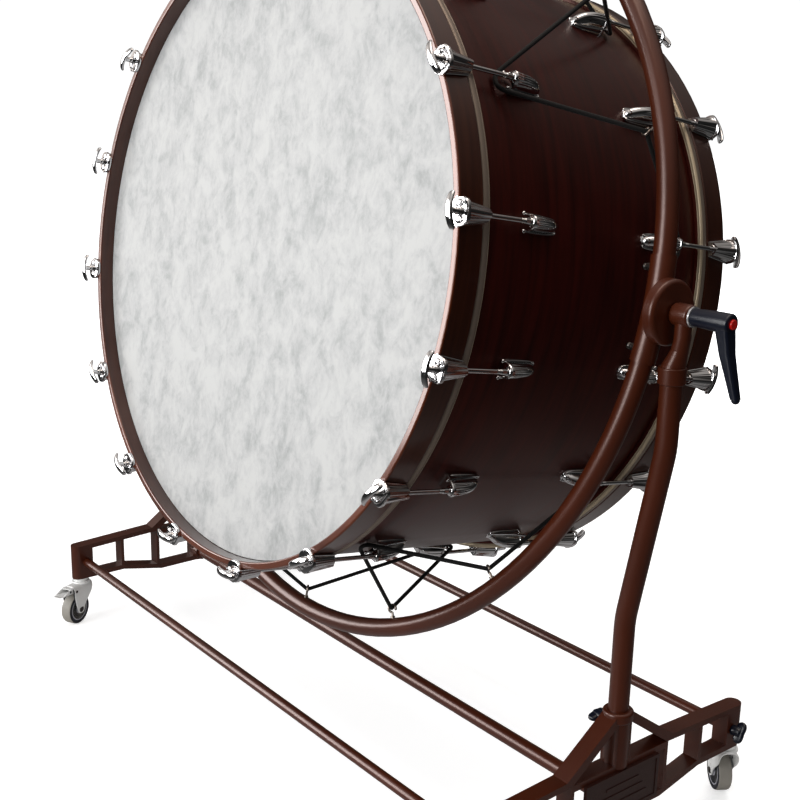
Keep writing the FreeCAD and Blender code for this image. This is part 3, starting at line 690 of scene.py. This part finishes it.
def fork_fittings():
    """Ball race, dark edge of the fork's hood, axle ends, brake pins, and beside each a small black cap,
    painted shade that stands for a hole.
    """
    s = Shape()
    s.lathe([(76.0, 13.0), (76.6, 16.0), (77.6, 16.9), (79.8, 17.0), (80.8, 16.4), (81.2, 15.0), (81.2, 12.6),
             (82.9, 12.4), (82.9, 6.0)], (0, 0, 0), "Z", 40)
    edge = [(33.4, 13.3, 45.0), (35.2, 13.5, 51.0), (36.6, 13.5, 58.0), (37.2, 13.4, 64.0),
            (36.8, 12.9, 69.0), (35.8, 11.4, 72.6), (34.6, 8.2, 75.0), (33.8, 4.0, 76.0)]
    edge = edge + [(33.6, 0.0, 76.2)] + [(x, -y, z) for x, y, z in reversed(edge)]
    s.tube(smooth_curve(edge, 3), 1.35, 8, 2)
    axle = [(13.6, 6.2), (15.2, 6.4), (15.5, 6.0), (15.5, 4.6), (17.0, 4.3), (17.4, 3.4), (17.4, 0.4)]
    pin = [(13.8, 3.6), (15.0, 3.5), (15.4, 2.8), (15.5, 0.3)]
    # Painted shade: a small black cap stands for the dark inside of a hole.
    hole_shade_cap = [(13.2, 2.2), (14.3, 2.1), (14.3, 0.2)]
    for e in (-1, 1):
        s.lathe(flipped(axle, e), WHEEL_AXLE, "Y", 6 if e < 0 else 24, 1)
        s.lathe(flipped(pin, e), BRAKE_PIVOT, "Y", 20, 1)
        s.lathe(flipped(hole_shade_cap, e), (8, 0, 58), "Y", 16, 2)
    return s


def tyre_shape():
    """Pale tread with a dark shoulder on each side."""
    s = Shape()
    shoulder = [(9.9, 28.9), (10.5, 28.0), (10.9, 26.6), (10.9, 25.0), (10.5, 24.2), (10.2, 22.6),
                (9.0, 22.2)]
    half = [(-9.9, 28.9), (-9.0, 29.55), (-7.4, 29.95)]
    s.lathe(half + [(0, 30.0)] + flipped(half[::-1], -1), WHEEL_AXLE, "Y", 64)
    for e in (-1, 1):
        s.lathe(flipped(shoulder, e), WHEEL_AXLE, "Y", 64, 1)
    return s


def wheel_shape():
    """Dished centre with ten ribs on each side."""
    s = Shape()
    dish = [(0.0, 22.4), (9.9, 22.4), (10.3, 21.8), (10.1, 20.6), (8.9, 19.8), (8.2, 18.4), (8.0, 11.0),
            (8.8, 9.4), (10.6, 8.6), (11.6, 8.0), (11.9, 6.6), (11.9, 4.2), (0.0, 4.2)]
    root = 7.6
    for e in (-1, 1):
        s.lathe(flipped(dish, e), WHEEL_AXLE, "Y", 56)
        rib = Shape()
        rib.loft([[(r, root * e, -w), (r, h * e, -w * 0.6), (r, h * e, w * 0.6), (r, root * e, w)]
                  for r, w, h in ((8.6, 0.9, 9.4), (13.0, 0.8, 8.9), (20.4, 0.8, 9.7))])
        for a in turns(10):
            s.add(rib, Matrix.Translation(WHEEL_AXLE) @ Matrix.Rotation(a, 4, "Y"))
    return s


def pedal_shape():
    """Thin pressed blade with a gusset at the pivot; its outer end is pressed down by foot."""
    s = Shape()
    middle = [(36, 0, 68.4), (46, 0, 69.6), (56, 0, 70.0), (65, 0, 70.6), (72, 0, 72.0), (77.5, 0, 74.2)]
    path = smooth_curve(middle, 5)
    half_thick, rounded_from = 0.7, 0.66
    rings = []
    for i, p in enumerate(path):
        t = i / (len(path) - 1)
        w = 10.2 - 3.4 * t
        if t > rounded_from:
            w *= math.sqrt(max(1 - ((t - rounded_from) / 0.36) ** 2, 0.04))
        corners = ((-w, -half_thick), (w, -half_thick), (w, half_thick), (-w, half_thick))
        rings.append([p + Vector((0, y, z)) for y, z in corners])
    s.loft(rings)
    cheek = [(27, 66.0), (26.2, 68.5), (26.4, 71.5), (28.2, 74.6), (31, 76.2), (37, 77.4), (43, 77.6),
             (49, 76.6), (55, 74.4), (62, 71.4), (66, 70.4), (56, 69.6), (46, 68.8), (38, 67.4), (31, 65.4)]
    for e in (-1, 1):
        s.loft([[(x, y, z) for x, z in cheek] for y in (8.6 * e, 10.4 * e)])
    bridge = [(31, 75.8), (31, 77.2), (38, 78.6), (45, 78.4), (45, 76.8), (38, 77.0)]
    s.loft([[(x, y, z) for x, z in bridge] for y in (-10.4, 10.4)])
    s.lathe([(-14.2, 2.5), (14.2, 2.5)], BRAKE_PIVOT, "Y", 20, 1)
    for e in (-1, 1):
        s.lathe(flipped([(10.0, 2.7), (10.7, 2.6), (10.7, 0.3)], e), (44, 0, 73.4), "Y", 16, 2)
    return s


def build_casters():
    fork, fittings, pedal = fork_shape(), fork_fittings(), pedal_shape()
    tyre, wheel = tyre_shape(), wheel_shape()
    pressed = ["zinc_steel", "screw_steel", "black_plastic"]
    for name, side, end, trail, brake in CASTERS:
        turned = Matrix.Rotation(math.radians(trail), 4, "Z")
        m = Matrix.Translation((FRAME_X * side, CASTER_Y * end, 0)) @ turned
        body = name + "_caster"
        sheet = Shape().add(fork, m).build(name + "_fork_pressing", ["zinc_steel"], body, "zinc_steel",
                                           name + "_caster_fork", smooth=50)
        mod = sheet.modifiers.new("sheet", "SOLIDIFY")
        mod.thickness, mod.offset = 2.0 * MM, -1.0
        add_bevel(sheet, 0.5, 2, 50)
        for shape, piece, mats, rides_on, slot, replaced in (
                (fittings, "_race_and_axle", pressed, body, "zinc_steel", "_caster_fork"),
                (tyre, "_tread", ["caster_tread", "black_plastic"], body + "_wheel", "caster_tread", "_tyre"),
                (wheel, "_wheel_disc", ["caster_centre"], body + "_wheel", "caster_centre", "_wheel")):
            Shape().add(shape, m).build(name + piece, mats, rides_on, slot, name + replaced)
        if brake:
            Shape().add(pedal, m).build(name + "_pedal", pressed, name + "_brake", "zinc_steel",
                                        name + "_brake_pedal", bevel=0.5)


build_casters()


# ------------------------------------------------------------------ hand screws
def knob_shape(hub_r, hub_end, reach, wing_at, half, thick, shank_r, shank):
    """Moulded hub with a rounded wing each side, pointing along +X from x = 0."""
    s = Shape()
    root = 3.0
    s.lathe([(-shank, shank_r), (0.2, shank_r)], (0, 0, 0), "X", 20, 1)
    s.lathe([(0.0, hub_r - 1.2), (0.8, hub_r - 0.4), (2.4, hub_r), (hub_end - 3.0, hub_r - 0.2),
             (hub_end - 1.2, hub_r - 1.2), (hub_end - 0.3, hub_r - 3.0), (hub_end, 0.3)], (0, 0, 0), "X", 32)
    for e in (-1, 1):
        rings = []
        for i in range(16):
            t = i / 15
            tip = math.sqrt(max(1 - max((t - 0.45) / 0.553, 0) ** 2.6, 0.0))
            long = half * (0.86 + 0.14 * math.sin(math.pi * min(t, 0.5))) * (0.12 + 0.88 * tip)
            deep = thick * (1 - 0.12 * t) * (0.2 + 0.8 * tip)
            out = e * (-root + (reach + root) * t)
            rings.append([(wing_at + long * blunt(math.cos(a), 0.7), out, deep * blunt(math.sin(a), 0.7))
                          for a in turns(28)])
        s.loft(rings)
    return s


def build_knobs():
    bar_x, bar_y, bar_z = 585.5, 246.0, 119.0
    socket_x, socket_z = 547.5, 203.0
    bar_knob = knob_shape(8.0, 17.0, 16.0, 13.0, 7.6, 4.4, 4.0, 42.0)
    socket_knob = knob_shape(7.0, 17.5, 15.0, 11.0, 7.2, 5.0, 3.0, 10.2)
    for name, end, twist in (("front_bar", -1, 58.0), ("rear_bar", 1, 62.0)):
        m = Matrix.Translation((bar_x, bar_y * end, bar_z)) @ Matrix.Rotation(math.radians(twist), 4, "X")
        Shape().add(bar_knob, m).build(name + "_hand_bolt", ["black_plastic", "screw_steel"], name + "_wing",
                                       "black_plastic", name + "_bolt", smooth=50)
    for name, side in (("right", 1), ("left", -1)):
        inwards = Matrix.Rotation(math.pi, 4, "Z") if side > 0 else Matrix.Identity(4)
        twist = Matrix.Rotation(math.radians(-8.0 * side), 4, "X")
        m = Matrix.Translation((socket_x * side, 0, socket_z)) @ inwards @ twist
        Shape().add(socket_knob, m).build(name + "_hand_screw", ["black_plastic", "screw_steel"],
                                          name + "_socket_wing", "black_plastic", name + "_socket_screw",
                                          smooth=50)


build_knobs()

# ------------------------------------------------------------------ edges of the cast pieces
for name, width in (("left_side_frame", 1.6), ("right_side_frame", 1.6), ("name_plate", 0.7)):
    add_bevel(NODES[name], width)


# ------------------------------------------------------------------ floor and light
def stage():
    """Pale floor that fades to white, and is dim and small to soft light and to reflections."""
    n = material_nodes("studio_floor")
    n.colour(n.mix(n.noise(n.coords(), 1.5, 2.0), (0.88, 0.88, 0.88), (0.92, 0.92, 0.92)))
    n.set(Roughness=0.9, Specular_IOR_Level=0.05, Emission_Color=(1, 1, 1, 1))
    ray = n.new("ShaderNodeLightPath").outputs
    place = n.new("ShaderNodeNewGeometry").outputs["Position"]
    spread = n.math("DIVIDE", n.vector_math("DISTANCE", place, (0.0, 0.0, 0.0)), 4.0)
    n.link(n.range(spread, 0.52, 1.0, 0.3, 0.7), n.bsdf.inputs["Emission Strength"])
    soft = n.ramp(spread, [(0.22, (0.80, 0.79, 0.78)), (0.36, (0.45, 0.44, 0.44))] + greys((0.60, 0.05)))
    sheen = n.ramp(spread, [(0.08, (0.50, 0.49, 0.49))] + greys((0.24, 0.10), (0.50, 0.02)))
    dim = n.new("ShaderNodeBsdfDiffuse")
    n.link(n.mix(ray["Is Glossy Ray"], soft, sheen), dim.inputs[0])
    seen = n.either(ray["Is Camera Ray"], dim.outputs[0], n.bsdf.outputs[0])
    n.link(seen, n.tree.nodes["Material Output"].inputs["Surface"])
    mesh = bpy.data.meshes.new("studio_floor")
    corners = [(-1, -1), (1, -1), (1, 1), (-1, 1)]
    mesh.from_pydata([(FLOOR_HALF * x, FLOOR_HALF * y, -FLOOR_DROP) for x, y in corners], [], [(0, 1, 2, 3)])
    mesh.materials.append(n.owner)
    floor = bpy.data.objects.new("studio_floor", mesh)
    scene.collection.objects.link(floor)


def studio_world():
    """White to the eye, a soft dome for diffuse light, and for reflections a dark room with a bright
    ceiling and a warm window at the front left."""
    world = bpy.data.worlds.new("studio")
    scene.world = world
    n = Nodes(world)
    n.tree.nodes.clear()

    def room(strength, tint=(1, 1, 1)):
        node = n.new("ShaderNodeBackground", Color=(*tint, 1))
        n.feed(strength, node.inputs["Strength"])
        return node.outputs[0]

    direction = n.new("ShaderNodeTexCoord").outputs["Generated"]
    to_right, _, upwards = n.split(direction)
    ceiling = n.ramp(upwards, greys((0.0, 0.008), (0.25, 0.02), (0.5, 0.12), (0.75, 0.5), (1.0, 0.75)))
    window = n.range(n.vector_math("DOT_PRODUCT", direction, (-0.86, -0.51, 0.0)), 0.0, 0.90, 0.66, 0.92)
    dome = n.range(to_right, 0.58, 0.32, -1.0, 1.0)
    ray = n.new("ShaderNodeLightPath").outputs
    shine = room(n.math("MAXIMUM", ceiling, window), (1, 0.92, 0.86))
    lit = n.either(ray["Is Glossy Ray"], room(dome), shine)
    out = n.new("ShaderNodeOutputWorld")
    n.link(n.either(ray["Is Camera Ray"], lit, room(1.05)), out.inputs["Surface"])


def add_light(name, kind, where, target, energy, sizes, tint=(1, 1, 1), shine_only=False, fill_only=False):
    """Area light of two sizes in metres, or a sun of one size in degrees. It can be kept to shine or fill."""
    light = bpy.data.lights.new(name, kind)
    light.energy = energy
    light.color = tint
    if kind == "AREA":
        light.shape = "RECTANGLE"
        light.size, light.size_y = sizes
    else:
        light.angle = math.radians(sizes)
    obj = bpy.data.objects.new(name, light)
    obj.location = where
    obj.rotation_mode = "QUATERNION"
    obj.rotation_quaternion = (Vector(target) - Vector(where)).to_track_quat("-Z", "Y")
    obj.visible_diffuse = not shine_only
    obj.visible_glossy = not fill_only
    scene.collection.objects.link(obj)


stage()
studio_world()
add_light("dome_sun", "SUN", (-0.4, -3.4, 1.4), (0, 0, 0), 0.55, 40.0)
add_light("key", "AREA", (0.0, -4.3, 1.6), (0.2, 0, 0.75), 105, (1.9, 2.6))
add_light("side_window", "AREA", (-2.9, -3.0, 1.5), (0.3, 0, 0.8), 150, (2.2, 2.6), shine_only=True)
add_light("top", "AREA", (0.6, 0.0, 3.6), (0.3, 0, 0.7), 24, (2.4, 1.0), (1.0, 0.84, 0.72))
add_light("back_fill", "AREA", (-2.6, 4.2, 1.5), (0, 0, 0.75), 130, (2.4, 2.0), fill_only=True)
scene.view_settings.view_transform = "Standard"
